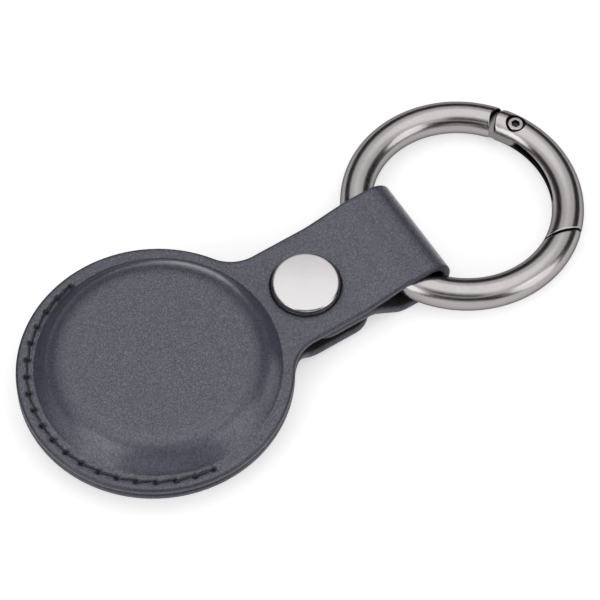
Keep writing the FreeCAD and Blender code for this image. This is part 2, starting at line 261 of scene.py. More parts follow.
# The colour of the painted shade in the holes and the groove.
hole_shade_colour = (0.002, 0.002, 0.002, 1)
feed(painted_hole_shade.blend(inner.blend(outer_colour, inner_fibre_and_shade_colour), hole_shade_colour), shader, "Base Color")
feed(0.40 - 0.12 * grain + 0.1 * cloud + inner * 0.4 + edge * 0.12, shader, "Roughness")
height = (0.8 * grain + 0.35 * fine) * (1 - edge) * (1 - inner) + inner * fibre
feed(height.bump(0.9, 0.085 * mm), shader, "Normal")
shader.inputs["Specular IOR Level"].default_value = 0.4
shader.inputs["Coat Roughness"].default_value = 0.3
sheen = (0.6 + 0.55 * grain) * (1 - inner) * (1 - painted_hole_shade) * (1 - 0.8 * edge)
feed(sheen, shader, "Coat Weight")
print("leather finish:", len(leather_finish.node_tree.nodes), "nodes")

# %% [markdown]
# ## Metal finishes
# The snap cap is satin nickel, turned on its face and polished round its rim. The ring is plated in a dark
# nickel with a satin brush, and the plating turns darker where it is seen aslant. The springs inside are
# plain steel. All are one metal shader with different colours, and brushing is a bump of stretched noise.
# Where a mesh carries the inside attribute, in joints, cut ends and recesses, its colour is painted near
# black as shade.


# %% Metals
def brushed_metal(name, dark, pale, roughness, stretch, mark_depth, turned_at=None, slant_tint=(1, 1, 1)):
    """Metal with fine marks: noise stretched by three scales, or rings round an upright axis at that x."""
    material, start, shader, place = new_finish(name)
    shader.inputs["Metallic"].default_value = 1.0
    shader.inputs["Specular Tint"].default_value = (*slant_tint, 1)
    if turned_at is None:
        marked = start.node("ShaderNodeMapping", inputs={"Vector": place, "Scale": stretch})
    else:
        spoke = place.stretch((1, 1, 0), (-turned_at, 0, 0))
        marked = start.node("ShaderNodeCombineXYZ", inputs={"X": spoke.length() * stretch[0]})
    marks = marked.noise(1.0, 3.0)
    patch = place.noise(240.0, 3.0)
    wear = 0.5 * marks + 0.5 * patch
    # Painted shade: where the mesh is marked inside, the colour goes near black and the surface rougher.
    inside = start.mark("inside")
    painted_shade_colour = (0.035, 0.033, 0.033, 1)
    feed(inside.blend(wear.blend((*dark, 1), (*pale, 1)), painted_shade_colour), shader, "Base Color")
    low_rough, high_rough = roughness
    feed(low_rough + (high_rough - low_rough) * wear + 0.2 * inside, shader, "Roughness")
    feed(marks.bump(1.0, mark_depth), shader, "Normal")
    return material


cap_low, cap_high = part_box("snap_cap")
snap_x = (cap_low.x + cap_high.x) / 2
cap_radius = cap_high.y
nickel_finish = brushed_metal("satin_nickel", (0.435, 0.42, 0.425), (0.53, 0.51, 0.515), (0.16, 0.26),
                              (9000, 9000, 9000), 0.012 * mm, snap_x)
gunmetal_finish = brushed_metal("dark_nickel", (0.31, 0.29, 0.29), (0.425, 0.40, 0.40), (0.17, 0.28),
                                (1800, 1800, 5000), 0.003 * mm, slant_tint=(0.25, 0.25, 0.26))
steel_finish = brushed_metal("spring_steel", (0.40, 0.40, 0.41), (0.55, 0.55, 0.56), (0.25, 0.40),
                             (900, 6000, 900), 0.003 * mm)
print("metal finishes made")

# %% [markdown]
# ## Thread finish
# The thread is waxed polyester: a very dark grey, with a low sheen and the fine marks of its twist.

# %% Thread
thread_finish, start, shader, place = new_finish("waxed_thread")
strand = place.noise(6000.0, 2.0)
feed(strand.blend((0.010, 0.010, 0.012, 1), (0.034, 0.034, 0.038, 1)), shader, "Base Color")
feed(0.42 + 0.2 * strand, shader, "Roughness")
feed(strand.bump(0.4, 0.03 * mm), shader, "Normal")
print("thread finish made")

# %% [markdown]
# ## From points to pieces
# Each piece becomes a plain mesh at the origin, with its place in its points. One helper makes the mesh, and
# another skins rings of points, which is enough for everything turned or drawn.

# %% Helpers for meshes
full_turn = 2 * math.pi


def new_piece(name, points, faces, finish, sharp_angle=None):
    mesh = bpy.data.meshes.new(name)
    mesh.from_pydata([tuple(point) for point in points], [], [tuple(face) for face in faces])
    mesh.shade_smooth()
    if sharp_angle:
        mesh.set_sharp_from_angle(angle=math.radians(sharp_angle))
    mesh.materials.append(finish)
    return add_object(name, mesh)


def skin_rings(rings):
    """Points and faces of a closed skin over rings of equal count, each turning left about the way ahead."""
    count = len(rings[0])
    points = np.concatenate(rings)
    faces = [tuple(range(count))[::-1]]
    for row in range(len(rings) - 1):
        low = row * count
        high = low + count
        for one in range(count):
            two = (one + 1) % count
            faces.append((low + one, low + two, high + two, high + one))
    faces.append(tuple(range((len(rings) - 1) * count, len(rings) * count)))
    return points, faces


def mark_points(piece, name, values):
    """Gives each point of the mesh a value that its finish reads."""
    attribute = piece.data.attributes.new(name, "FLOAT", "POINT")
    attribute.data.foreach_set("value", np.asarray(values, np.float32))


def circle(angles):
    return np.column_stack([np.cos(angles), np.sin(angles)])


def even_turns(count):
    return np.linspace(0, full_turn, count, endpoint=False)


def turned_rings(profile, x, count=96):
    """Rings about the upright axis at x, from a profile of (radius, height) that runs up the outside."""
    around = circle(even_turns(count))
    return [np.column_stack([[x, 0] + radius * around, np.full(count, height)]) for radius, height in profile]


def corner_arc(centre, radius, first, last, steps):
    """Points of an arc in a profile, from one angle to another in degrees."""
    return list(centre + radius * circle(np.radians(np.linspace(first, last, steps))))


print("mesh helpers ready")

# %% [markdown]
# ## Side views of bent leather
# Leather keeps its length and thickness when it is bent, so a strap is best drawn as a flat pattern and then
# laid along its side view. A side view here is a line of straight runs joined by arcs, read by its length.


# %% Lines with rounded corners
def side_view(corners, radii):
    """Runs, points and left-hand normals along straight runs that are joined by arcs."""
    corners = [np.array(corner, float) for corner in corners]
    points = [corners[0]]
    for before, corner, after, radius in zip(corners, corners[1:], corners[2:], radii):
        back = (before - corner) / np.linalg.norm(before - corner)
        ahead = (after - corner) / np.linalg.norm(after - corner)
        half_turn = (math.pi - math.acos(np.clip(back @ ahead, -1, 1))) / 2
        inward = (back + ahead) / np.linalg.norm(back + ahead)
        centre = corner + inward * radius / math.cos(half_turn)
        spoke = corner + back * radius * math.tan(half_turn) - centre
        side = np.sign(back[1] * ahead[0] - back[0] * ahead[1])
        for angle in np.linspace(0, 2 * half_turn * side, 40):
            turn = np.array([[math.cos(angle), -math.sin(angle)], [math.sin(angle), math.cos(angle)]])
            points.append(centre + turn @ spoke)
    points = np.array(points + [corners[-1]])
    lengths = np.append(0, np.cumsum(np.linalg.norm(np.diff(points, axis=0), axis=1)))
    view_step = 0.04 * mm
    runs = np.linspace(0, lengths[-1], int(lengths[-1] / view_step))
    line = np.column_stack([np.interp(runs, lengths, points[:, axis]) for axis in (0, 1)])
    ways = np.gradient(line, axis=0)
    ways /= np.linalg.norm(ways, axis=1)[:, None]
    return runs, line, np.column_stack([-ways[:, 1], ways[:, 0]])


print("side views ready")

# %% [markdown]
# ## The pressed domes
# Each panel is pressed over a former the shape of the tag. Its crown is flat, its wall is steep, and a tight
# bend at the foot meets the rim. The front's dome lies a little nearer to the strap, clear of the seam.

# %% Side views of the domes
crown_radius = 15.4 * mm
foot_radius = 18.4 * mm
crown_bend = 4.0 * mm
foot_bend = 0.9 * mm
front_dome_x = disc_x + 0.5 * mm


def dome_view(crown, rim):
    """Side view of a pressed dome, from its middle to the panel's edge."""
    corners = [(0, crown), (crown_radius, crown), (foot_radius, rim), (panel_radius + mm, rim)]
    return side_view(corners, [crown_bend, foot_bend])


front_dome = dome_view(front_crown, front_rim)
back_dome = dome_view(back_crown, back_rim)
print(f"dome side view {1000 * front_dome[0][-1]:.1f} mm long")

# %% [markdown]
# ## The strap's way round the ring
# The front leather runs flat from the pocket, climbs over the ring's wire, folds round it and comes back
# under itself to the snap. The back leather only steps down to its tab. Both lines keep the CAD model's
# corners, with softer arcs where leather would ease.

# %% Lines of the strap and the tab
strap_start = disc_x + 18.7 * mm
fold_line = loop_high.x - leather / 2
over_line = loop_high.z - leather / 2
under_line = loop_low.z + leather / 2
tongue_line = tongue_low.z + leather / 2
tab_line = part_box("snap_stud")[0].z - leather / 2
climb_x = bend_x - 1.0 * mm
shoulder_x = bend_x + 6.1 * mm
foot_x = bend_x + 5.4 * mm
tongue_x = bend_x + 0.2 * mm
fold_round = 3.3 * mm
strap_view = side_view([
    (strap_start, front_rim),
    (climb_x, front_rim),
    (shoulder_x, over_line),
    (fold_line, over_line),
    (fold_line, under_line),
    (foot_x, under_line),
    (tongue_x, tongue_line),
    (tongue_low.x, tongue_line),
], [12 * mm, 6 * mm, fold_round, fold_round, fold_round, 3.5 * mm])
drop_x = strap_start + 0.5 * mm
drop_length = 3.3 * mm
tab_view = side_view([
    (strap_start, back_rim),
    (drop_x, back_rim),
    (drop_x + drop_length, tab_line),
    (flap_high.x, tab_line),
], [1.2 * mm, 3.5 * mm])
print(f"strap {1000 * strap_view[0][-1]:.1f} mm and tab {1000 * tab_view[0][-1]:.1f} mm beyond the dome")

# %% [markdown]
# ## The flat pattern
# A leather worker cuts one outline: a disc, a filleted neck and a strap with rounded end corners. The same
# outline is drawn here on the flat, then offset inwards a few times so that the painted edge can be rounded.

# %% Outline of the pattern
neck_fillet = 6.3 * mm
end_corner = 4.0 * mm
outline_step = 0.33 * mm


def arc_points(centre, radius, first, last):
    count = max(4, int(abs(last - first) * radius / outline_step))
    return centre + radius * circle(np.linspace(first, last, count, endpoint=False))


def straight_points(first, last):
    first = np.array(first)
    last = np.array(last)
    count = max(2, int(np.linalg.norm(last - first) / outline_step))
    return first + (last - first) * np.linspace(0, 1, count, endpoint=False)[:, None]


def pattern_outline(end):
    """The pattern's edge, anticlockwise, with the strap's end at that run."""
    fillet_y = strap_half + neck_fillet
    fillet_x = math.sqrt((panel_radius + neck_fillet) ** 2 - fillet_y ** 2)
    open_angle = math.atan2(fillet_y, fillet_x)
    corner_y = strap_half - end_corner
    corner_x = end - end_corner
    half_pi = math.pi / 2
    return np.concatenate([
        arc_points((disc_x, 0), panel_radius, open_angle, full_turn - open_angle),
        arc_points((disc_x + fillet_x, -fillet_y), neck_fillet, math.pi - open_angle, half_pi),
        straight_points((disc_x + fillet_x, -strap_half), (corner_x, -strap_half)),
        arc_points((corner_x, -corner_y), end_corner, -half_pi, 0),
        straight_points((end, -corner_y), (end, corner_y)),
        arc_points((corner_x, corner_y), end_corner, 0, half_pi),
        straight_points((corner_x, strap_half), (disc_x + fillet_x, strap_half)),
        arc_points((disc_x + fillet_x, fillet_y), neck_fillet, -half_pi, open_angle - math.pi),
    ])


print("outline points:", len(pattern_outline(strap_start + strap_view[0][-1])))


# %% Distances from the outline
def edge_distance(points, outline):
    """How far each point of the pattern lies from its edge."""
    nearest = np.full(len(points), 1.0)
    for first, last in zip(outline, np.roll(outline, -1, axis=0)):
        way = last - first
        share = np.clip(((points - first) @ way) / (way @ way), 0, 1)
        nearest = np.minimum(nearest, np.linalg.norm(points - first - share[:, None] * way, axis=1))
    return nearest


def in_outline(points, outline):
    """Whether each point lies inside the outline, by counting the edges to its right."""
    crossings = np.zeros(len(points), int)
    for (x1, y1), (x2, y2) in zip(outline, np.roll(outline, -1, axis=0)):
        spans = (y1 > points[:, 1]) != (y2 > points[:, 1])
        level_x = x1 + (points[:, 1] - y1) * (x2 - x1) / (y2 - y1 if y2 != y1 else 1)
        crossings += spans & (points[:, 0] < level_x)
    return crossings % 2 == 1


def inner_offset(outline, distance):
    ways = np.roll(outline, -1, axis=0) - np.roll(outline, 1, axis=0)
    ways /= np.linalg.norm(ways, axis=1)[:, None]
    return outline + distance * np.column_stack([-ways[:, 1], ways[:, 0]])


print("outline measures ready")

# %% [markdown]
# ## Points inside the pattern
# The dome needs rings of points, so that its bends shade smoothly. The seam needs a fine band for the needle
# holes, the snap fine rings for the groove round it, and the strap an even grid. A Delaunay triangulation
# then joins all of them inside the outline.

# %% Fill the pattern with points
seam_radius = panel_radius - 1.7 * mm
edge_offsets = [0.04 * mm, 0.12 * mm, 0.25 * mm, 0.45 * mm, 0.75 * mm]
edge_clear = 0.85 * mm
flat_radius = 19.0 * mm
bend_start = 12 * mm
crown_step = 0.6 * mm
seam_ring_step = 0.2 * mm
snap_ring_step = 0.13 * mm
grid_step = 0.33 * mm
grid_rows = 26
grid_clear = 0.95 * mm


def ring_of_points(centre_x, radius, count):
    return [centre_x, 0] + radius * circle(even_turns(count))


def inside_points(end, dome_x):
    sets = [np.array([[dome_x, 0.0]])]
    for radius in np.arange(crown_step, bend_start - 0.1 * mm, crown_step):
        sets.append(ring_of_points(dome_x, radius, max(8, int(full_turn * radius / crown_step))))
    for radius in np.linspace(bend_start, flat_radius, 32):
        sets.append(ring_of_points(dome_x, radius, 220))
    for radius in np.arange(flat_radius + seam_ring_step, panel_radius - edge_clear, seam_ring_step):
        sets.append(ring_of_points(disc_x, radius, 560))
    for radius in np.arange(cap_radius - 0.3 * mm, cap_radius + 1.3 * mm, snap_ring_step):
        sets.append(ring_of_points(snap_x, radius, 200))
    along = np.arange(disc_x + panel_radius - 0.5 * mm, end - 0.8 * mm, grid_step)
    across = np.linspace(-strap_half + grid_clear, strap_half - grid_clear, grid_rows)
    sets.append(np.stack(np.meshgrid(along, across), -1).reshape(-1, 2))
    return np.concatenate(sets)


def triangulate(outline, end, dome_x):
    """Points and triangles of the pattern, as arrays."""
    loose = inside_points(end, dome_x)
    loose = loose[edge_distance(loose, outline) > edge_clear]
    rings = [inner_offset(outline, distance) for distance in edge_offsets]
    every = np.concatenate([outline] + rings + [loose]) / mm
    loop = list(range(len(outline)))
    made = delaunay_2d_cdt([Vector(point) for point in every], [], [loop], 1, 1e-5, False)
    points = np.array([tuple(point) for point in made[0]]) * mm
    triangles = np.array([tuple(face) for face in made[2]])
    triangles = triangles[in_outline(points[triangles].mean(axis=1), outline)]
    used, renamed = np.unique(triangles, return_inverse=True)
    return points[used], renamed.reshape(-1, 3)


print("pattern filler ready")

# %% [markdown]
# ## Needle holes, puckers and the pressed ring
# The needle leaves a small dimple at each stitch, the tight thread pulls a shallow groove, and the snap's
# cap presses the leather round it and leaves a narrow groove at its edge. These are shifts of the outer
# surface, so they are real shapes in the mesh. The dimples and the groove round the cap are also painted
# near black, as painted shade.

# %% Relief of the seam
stitch_count = 19
seam_start = math.radians(100.0)
seam_end = math.radians(265.0)
seam_step = (seam_end - seam_start) / stitch_count
seam_fade = 0.03
hole_angles = seam_start + seam_step * np.arange(stitch_count + 1)
hole_reach = seam_radius + 0.1 * mm
hole_width = 0.33 * mm
hole_depth = 0.55 * mm
thread_groove = 0.13 * mm
pucker_height = 0.05 * mm


def dip(distance, width):
    return np.exp(-(distance / width) ** 2)


def seam_relief(points):
    """Shift of the surface along the seam, and how much of each point is needle hole, painted as shade."""
    radius = np.hypot(points[:, 0] - disc_x, points[:, 1])
    angle = np.arctan2(points[:, 1], points[:, 0] - disc_x) % full_turn
    begun = np.clip((angle - seam_start) / seam_fade + 1, 0, 1)
    sewn = begun * np.clip((seam_end - angle) / seam_fade + 1, 0, 1)
    phase = np.cos(full_turn * (angle - seam_start) / seam_step)
    groove = -thread_groove * dip(radius - seam_radius, 0.5 * mm)
    pucker = pucker_height * dip(radius - seam_radius + 0.75 * mm, 0.45 * mm) * (1 - phase) / 2
    holes = np.zeros(len(points))
    for place in hole_angles:
        x = disc_x + hole_reach * math.cos(place)
        y = hole_reach * math.sin(place)
        holes = np.maximum(holes, dip(np.hypot(points[:, 0] - x, points[:, 1] - y), hole_width))
    return sewn * (groove + pucker) - hole_depth * holes, holes


print("relief:", stitch_count, "stitches")

# %% Relief round the snap
press_depth = 0.15 * mm
press_reach = 1.3 * mm
press_ease = 1.4 * mm
cap_groove_reach = 0.03 * mm
cap_groove_width = 0.19 * mm
cap_groove_depth = 0.3 * mm


def cap_relief(points):
    """The cap's press and edge groove in the strap, with the groove's mask for painted shade; only on the
    layer under it.
    """
    reach = np.hypot(points[:, 0] - snap_x, points[:, 1]) - cap_radius
    share = np.clip((press_reach - reach) / press_ease, 0, 1)
    press = press_depth * share * share * (3 - 2 * share)
    groove = dip(reach - cap_groove_reach, cap_groove_width)
    return -press - cap_groove_depth * groove, groove


def front_relief(points):
    """The seam's and the snap's relief together, with their masks for painted shade."""
    shift, holes = seam_relief(points)
    press, groove = cap_relief(points)
    return shift + press, np.maximum(holes, groove)


print(f"groove round the snap {1000 * cap_groove_depth:.1f} mm deep")

# %% [markdown]
# ## Making a sheet of leather
# Every point of the pattern is laid on the middle surface, either on the dome or along the strap's side
# view, and then moved half a thickness out to each side. Near the edge the half thickness follows a small
# arc, which rounds the painted edge. Walls join the two sides, so the sheet is closed.

# %% Sheets of leather
rim_clear = 0.15 * mm
edge_round = 0.42 * mm
paint_reach = 0.2 * mm
paint_fade = 0.3 * mm


def on_middle(points, dome, dome_x, view):
    """Place on the middle surface and its normal, for points of the pattern."""
    runs, line, normals = view
    dome_line, dome_normals = dome[1:]
    along = points[:, 0] - strap_start
    middle = np.column_stack([np.where(along > 0, np.interp(along, runs, line[:, 0]), points[:, 0]),
                              points[:, 1], np.interp(along, runs, line[:, 1])])
    up = np.column_stack([np.interp(along, runs, normals[:, 0]), np.zeros(len(points)),
                          np.interp(along, runs, normals[:, 1])])
    spoke = points - [dome_x, 0]
    radius = np.hypot(spoke[:, 0], spoke[:, 1])
    inside = radius < flat_radius - rim_clear
    middle[inside, 2] = np.interp(radius[inside], dome_line[:, 0], dome_line[:, 1])
    lean = np.interp(radius[inside], dome_line[:, 0], dome_normals[:, 0])
    up[inside, :2] = spoke[inside] / np.maximum(radius[inside], 1e-9)[:, None] * lean[:, None]
    up[inside, 2] = np.interp(radius[inside], dome_line[:, 0], dome_normals[:, 1])
    return middle, up / np.linalg.norm(up, axis=1)[:, None]


def leather_sheet(name, dome, dome_x, view, outer_is_top, relief):
    end = strap_start + view[0][-1]
    outline = pattern_outline(end)
    points, triangles = triangulate(outline, end, dome_x)
    depth = edge_distance(points, outline)
    into = np.minimum(depth, edge_round)
    half = leather / 2 - edge_round + np.sqrt(edge_round ** 2 - (edge_round - into) ** 2)
    shift, holes = relief(points)
    middle, up = on_middle(points, dome, dome_x, view)
    outer = half + shift
    top = middle + up * (outer if outer_is_top else half)[:, None]
    under = middle - up * (half if outer_is_top else outer)[:, None]
    count = len(points)
    faces = [tuple(face) for face in triangles] + [tuple(face[::-1] + count) for face in triangles]
    sides = {tuple(side) for face in triangles for side in zip(face, np.roll(face, -1))}
    faces += [(b, a, a + count, b + count) for a, b in sides if (b, a) not in sides]
    piece = new_piece(name, np.concatenate([top, under]), faces, leather_finish)
    painted = np.clip(1 - (depth - paint_reach) / paint_fade, 0, 1)
    nothing = np.zeros(count)
    lining = 1 - painted
    # The hole and groove mask goes to the finish as painted shade.
    values = {
        "edge": (painted, painted),
        "inner": (nothing, lining) if outer_is_top else (lining, nothing),
        "painted_hole_shade": (holes, nothing) if outer_is_top else (nothing, holes),
    }
    for key, both_sides in values.items():
        mark_points(piece, key, np.concatenate(both_sides))
    print(name, len(faces), "faces")
    return piece


print("sheet maker ready")

# %% [markdown]
# ## Front leather
# One piece on the bench: the domed front, the neck and the strap that folds round the ring.

# %% Front leather
front_leather = leather_sheet("front_leather", front_dome, front_dome_x, strap_view, True, front_relief)
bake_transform(front_leather)
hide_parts("front_panel", "strap_loop", "strap_tongue")

# %% [markdown]
# ## Back leather
# The back is pressed the same way and ends in the tab with the snap's stud. Only its far half is sewn.

# %% Back leather
back_leather = leather_sheet("back_leather", back_dome, disc_x, tab_view, False, seam_relief)
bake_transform(back_leather)
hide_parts("back_panel", "back_flap")

# %% [markdown]
# ## Stitches
# A lock stitch repeats: each stitch comes out of a hole, crosses the leather on a slight slant and dives into
# the next hole. Geometry Nodes suit this. The tree makes one stitch from a Bezier curve, lays copies along an
# arc, and sews the first and last stitches twice, as a machine does to lock its thread.


# %% The stitch tree
def stitch_tree():
    tree = bpy.data.node_groups.new("lock_stitches", "GeometryNodeTree")
    sizes = {"Seam Radius": seam_radius, "First Angle": 0.0, "Sweep": 1.0, "Stitch Length": 2.8 * mm,
             "Thread Radius": 0.16 * mm, "Slant": 0.13 * mm, "Hump": 0.24 * mm, "Depth": 0.5 * mm,
             "Tack Shift": 0.14 * mm, "Centre X": disc_x, "Height": 0.0, "Up": 1.0}
    for name, value in sizes.items():
        socket = tree.interface.new_socket(name, in_out="INPUT", socket_type="NodeSocketFloat")
        socket.default_value = value
    count_socket = tree.interface.new_socket("Stitches", in_out="INPUT", socket_type="NodeSocketInt")
    count_socket.default_value = stitch_count
    tree.interface.new_socket("Thread", in_out="INPUT", socket_type="NodeSocketMaterial")
    tree.interface.new_socket("Geometry", in_out="OUTPUT", socket_type="NodeSocketGeometry")
    start = Wire(tree)
    group = tree.nodes.new("NodeGroupInput")
    given = {name: Wire(tree, group.outputs[name]) for name in [*sizes, "Stitches", "Thread"]}

    def vector(x, y, z):
        return start.node("ShaderNodeCombineXYZ", inputs={"X": x, "Y": y, "Z": z})

    half = 0.5 * given["Stitch Length"]
    slant = given["Slant"]
    depth = given["Up"] * given["Depth"]
    hump = given["Up"] * given["Hump"]
    curve = start.node("GeometryNodeCurvePrimitiveBezierSegment", inputs={
        "Resolution": 14,
        "Start": vector(-1 * half, -1 * slant, -1 * depth),
        "Start Handle": vector(-0.95 * half, -0.9 * slant, hump),
        "End Handle": vector(0.95 * half, 0.9 * slant, hump),
        "End": vector(half, slant, -1 * depth)})
    factor = start.node("GeometryNodeSplineParameter", output="Factor")
    twist = 9.0
    curve = start.node("GeometryNodeSetCurveTilt", inputs={"Curve": curve, "Tilt": factor * twist})
    strands = start.node("GeometryNodeCurveStar", inputs={
        "Points": 3,
        "Inner Radius": 0.8 * given["Thread Radius"],
        "Outer Radius": 1.12 * given["Thread Radius"]})
    stitch = start.node("GeometryNodeCurveToMesh", inputs={
        "Curve": curve, "Profile Curve": strands, "Fill Caps": True})
    step = start.math("DIVIDE", given["Sweep"], given["Stitches"])
    first = given["First Angle"] + 0.5 * step
    tack_radius = given["Seam Radius"] + given["Tack Shift"]
    arcs = start.tree.nodes.new("GeometryNodeJoinGeometry")
    for radius, angle, sweep, number in (
            (given["Seam Radius"], first, given["Sweep"] - step, given["Stitches"]),
            (tack_radius, first + 0.1 * step, step, 2),
            (tack_radius, first + given["Sweep"] - 2.1 * step, step, 2)):
        arc = start.node("GeometryNodeCurveArc", inputs={
            "Resolution": number, "Radius": radius, "Start Angle": angle, "Sweep Angle": sweep})
        tree.links.new(arc.socket, arcs.inputs[0])
    places = start.node("GeometryNodeCurveToPoints", {"mode": "EVALUATED"},
                        {"Curve": Wire(tree, arcs.outputs[0])})
    tangent = Wire(tree, places.socket.node.outputs["Tangent"])
    wobble = start.node("FunctionNodeRandomValue", {"data_type": "FLOAT_VECTOR"},
                        {"Min": (-0.04, -0.04, -0.07), "Max": (0.04, 0.04, 0.07), "Seed": 7})
    facing = start.node("FunctionNodeAlignRotationToVector", {"axis": "X", "pivot_axis": "Z"},
                        {"Vector": tangent})
    facing = start.node("FunctionNodeRotateRotation", {"rotation_space": "LOCAL"},
                        {"Rotation": facing, "Rotate By": wobble})
    row = start.node("GeometryNodeInstanceOnPoints", inputs={
        "Points": places, "Instance": stitch, "Rotation": facing})
    row = start.node("GeometryNodeTransform", inputs={
        "Geometry": row, "Translation": vector(given["Centre X"], 0.0, given["Height"])})
    row = start.node("GeometryNodeRealizeInstances", inputs={"Geometry": row})
    row = start.node("GeometryNodeSetMaterial", inputs={"Geometry": row, "Material": given["Thread"]})
    output = tree.nodes.new("NodeGroupOutput")
    tree.links.new(row.socket, output.inputs["Geometry"])
    return tree


tree = stitch_tree()
print("stitch tree:", len(tree.nodes), "nodes")


# %% Sew the two threads
def sew(name, tree, settings):
    """Runs the stitch tree with these sizes and gives its result as a plain mesh."""
    host = add_object(name, bpy.data.meshes.new(name))
    modifier = host.modifiers.new("stitches", "NODES")
    modifier.node_group = tree
    for item in tree.interface.items_tree:
        if item.in_out == "INPUT" and item.name in settings:
            modifier[item.identifier] = settings[item.name]
    evaluated = host.evaluated_get(bpy.context.evaluated_depsgraph_get())
    mesh = bpy.data.meshes.new_from_object(evaluated)
    host.modifiers.remove(modifier)
    host.data = mesh
    mesh.shade_smooth()
    print(name, len(mesh.polygons), "faces")
    return host


chord = 2 * seam_radius * math.sin(seam_step / 2)
common = {"First Angle": seam_start, "Sweep": seam_end - seam_start, "Stitch Length": chord - 0.1 * mm,
          "Thread": thread_finish}
needle_thread = sew("needle_stitches", tree, {**common, "Height": front_low.z + leather, "Up": 1.0})
bobbin_thread = sew("bobbin_stitches", tree, {**common, "Height": back_high.z - leather, "Up": -1.0})
for thread, node in ((needle_thread, "needle_thread"), (bobbin_thread, "bobbin_thread")):
    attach(thread, "holder")
    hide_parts(node)

# %% [markdown]
# ## Snap fastener
# The cap is a shallow turned button: a nearly flat face, a rounded polished shoulder and a side that sinks
# into the leather. The post behind the tab is turned too. The socket, its grip wire and the stud stay as the
# CAD model has them, with a metal finish.

# %% Snap cap
strap_top = front_low.z + leather
cap_height = cap_high.z - strap_top
cap_foot = strap_top - 0.25 * mm
shoulder = 0.5 * mm
curl = 0.35 * mm
face_crown = 0.12 * mm
curl_z = cap_high.z - shoulder - face_crown
cap_profile = [(0.3 * mm, cap_foot), (cap_radius - curl - 0.15 * mm, cap_foot)]
cap_profile += corner_arc((cap_radius - curl, curl_z), curl, -80, -10, 7)
cap_profile += corner_arc((cap_radius - shoulder, curl_z), shoulder, 0, 76, 12)
face_radius, face_z = cap_profile[-1]
for share in (0.95, 0.85, 0.7, 0.5, 0.3, 0.1, 0.02):
    cap_profile.append((face_radius * share, cap_high.z - (cap_high.z - face_z) * share ** 2))
points, faces = skin_rings(turned_rings(cap_profile, snap_x))
snap_cap = new_piece("snap_cap_turned", points, faces, nickel_finish)
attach(snap_cap, "holder")
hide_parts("snap_cap")
print(f"snap cap {2000 * cap_radius:.1f} mm across, {1000 * cap_height:.2f} mm high")

# %% Post, and the finish of the inner pieces
post_low, post_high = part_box("snap_post")
post_radius = post_high.y
post_round = 0.45 * mm
post_seat = tab_line - leather / 2 + 0.1 * mm
shank_radius = 1.1 * mm
dimple_z = post_low.z + 0.12 * mm
post_profile = [(0.02 * mm, dimple_z), (0.8 * mm, dimple_z)]
post_profile += [(1.0 * mm, post_low.z + 0.02 * mm), (1.3 * mm, post_low.z)]
post_profile += corner_arc((post_radius - post_round, post_low.z + post_round), post_round, -80, 0, 8)
post_profile += [(post_radius, post_seat), (shank_radius, post_seat), (shank_radius, post_high.z - 0.1 * mm)]
post_profile += [(shank_radius - 0.1 * mm, post_high.z), (0.02 * mm, post_high.z)]
points, faces = skin_rings(turned_rings(post_profile, snap_x))
snap_post = new_piece("snap_post_turned", points, faces, nickel_finish, sharp_angle=40)
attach(snap_post, "flap")
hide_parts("snap_post")
for node, finish in (("snap_socket", nickel_finish), ("snap_stud", nickel_finish),
                     ("socket_spring", steel_finish), ("gate_spring", steel_finish)):
    frame["nodes"][node].material_slots[0].material = finish
print(f"snap post {2000 * post_radius:.1f} mm across")

# %% [markdown]
# ## Ring body
# The ring is a 5 mm wire bent to a 28 mm bore. Near the gate both ends are cut by circles about the gate's
# pin, so the gate can swing past them. A torus with cutters would leave rough edges, so the wire is skinned
# ring by ring, and each end is worked out from its circle. The flat eye for the pin is a plate let into one
# end, and it reaches nearly to the bore, where it shows under the gate.

# %% Places on the wire
ring_radius = 16.5 * mm
wire = 2.5 * mm
pin_angle = math.radians(26.0)
ring_axis = Vector(joints["ring_turn"]["axis"])
ring_seat = Matrix.Translation(Vector(joints["ring_turn"]["pos_m"]))
ring_seat = ring_seat @ Vector((0, 0, 1)).rotation_difference(ring_axis).to_matrix().to_4x4()
shoulder_reach = 4.1 * mm
nose_reach = 3.3 * mm
body_lock_reach = 21.34 * mm
gate_lock_reach = 21.04 * mm
end_bevel = 0.24 * mm
bevel_turns = np.radians([0, 22.5, 45, 67.5, 90])
bevel_steps = [(1 - end_bevel / wire * (1 - math.sin(a)), end_bevel * (1 - math.cos(a))) for a in bevel_turns]
inset = end_bevel / ring_radius


def angle_at(section, reach, side):
    """Angle round the ring at which a point of the wire's section lies that far from the pin."""
    out = ring_radius + section[:, 0]
    cosine = (out ** 2 + ring_radius ** 2 - reach ** 2) / (2 * out * ring_radius)
    return pin_angle + side * np.arccos(np.clip(cosine, -1, 1))


def on_ring(section, angles):
    out = ring_radius + section[:, 0]
    return np.column_stack([out * np.cos(angles), out * np.sin(angles), section[:, 1]])


def end_rings(section, reach, side, way, lap=0.0, cap_scales=(0.02, 0.4, 0.75)):
    """Rings of a cut end, from the middle of its face out through a rounded edge to the full section."""
    steps = [(scale, 0.0) for scale in cap_scales] + bevel_steps
    rings = []
    for scale, distance in steps:
        small = section * scale
        rings.append(on_ring(small, angle_at(small, reach, side) + lap + way * distance / ring_radius))
    return rings


print("ring centre", [round(value, 5) for value in joints["ring_turn"]["pos_m"]])

# %% Wire of the ring body
round_section = wire * circle(-even_turns(56))
body_first = angle_at(round_section, shoulder_reach, 1) + inset
body_last = angle_at(round_section, body_lock_reach, -1) + full_turn - inset
body_rings = end_rings(round_section, shoulder_reach, 1, 1)
for share in np.linspace(0, 1, 220)[1:-1]:
    body_rings.append(on_ring(round_section, body_first + share * (body_last - body_first)))
body_rings += end_rings(round_section, body_lock_reach, -1, -1, full_turn)[::-1]
body_points, body_faces = skin_rings(body_rings)
